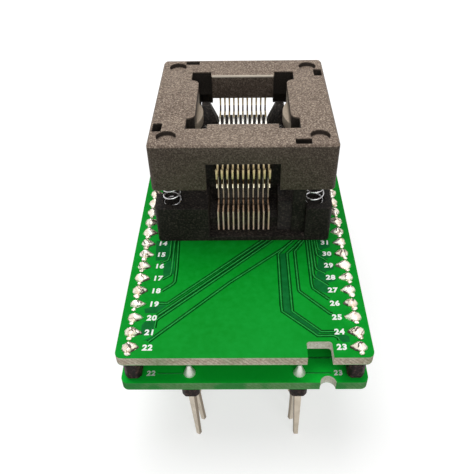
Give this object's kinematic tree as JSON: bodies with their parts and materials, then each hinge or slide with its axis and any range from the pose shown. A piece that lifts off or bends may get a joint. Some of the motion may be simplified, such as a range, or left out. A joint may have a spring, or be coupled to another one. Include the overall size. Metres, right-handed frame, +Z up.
{
  "type": "ic programming adapter",
  "caption": "Chip programming adapter: an open-top socket with a sprung press-down cover, on two stacked circuit boards with pin strips between them and two rows of long pins below.",
  "frame": {"origin": "the plane of the long pins' tips, under the middle of the two boards", "axes": "+Z up, out of the socket's open top; the notched ends of the boards face -Y; the two rows of long pins run along Y, and the socket stands towards +Y"},
  "size_m": [0.034, 0.0566, 0.0399],
  "materials": {
    "cover_plastic": "satin",
    "base_plastic": "satin",
    "board": "gloss",
    "strip_plastic": "matte",
    "header_pin": "polished",
    "dip_pin": "satin",
    "contact_gold": "polished",
    "spring_steel": "polished",
    "solder": "gloss"
  },
  "bodies": {
    "frame": {"contacts_front": "contact_gold", "contacts_left": "contact_gold", "contacts_rear": "contact_gold", "contacts_right": "contact_gold", "dip_joints_left": "solder", "dip_joints_right": "solder", "dip_pins_left": "dip_pin", "dip_pins_right": "dip_pin", "dip_strip_left": "strip_plastic", "dip_strip_right": "strip_plastic", "header_joints_left": "solder", "header_joints_right": "solder", "header_pins_left": "header_pin", "header_pins_right": "header_pin", "header_strip_left": "strip_plastic", "header_strip_right": "strip_plastic", "lower_board": "board", "socket_base": "base_plastic", "spring_front_left": "spring_steel", "spring_front_right": "spring_steel", "spring_rear_left": "spring_steel", "spring_rear_right": "spring_steel", "upper_board": "board"},
    "cover": {"socket_cover": "cover_plastic"}
  },
  "joints": [
    {"name": "cover_press", "type": "slide", "parent": "frame", "child": "cover", "axis": [0, 0, -1], "range_m": [0, 0.003], "stiffness_N_per_m": 2500, "springref_m": -0.0015, "deforming": ["spring_front_left", "spring_front_right", "spring_rear_left", "spring_rear_right"]}
  ]
}
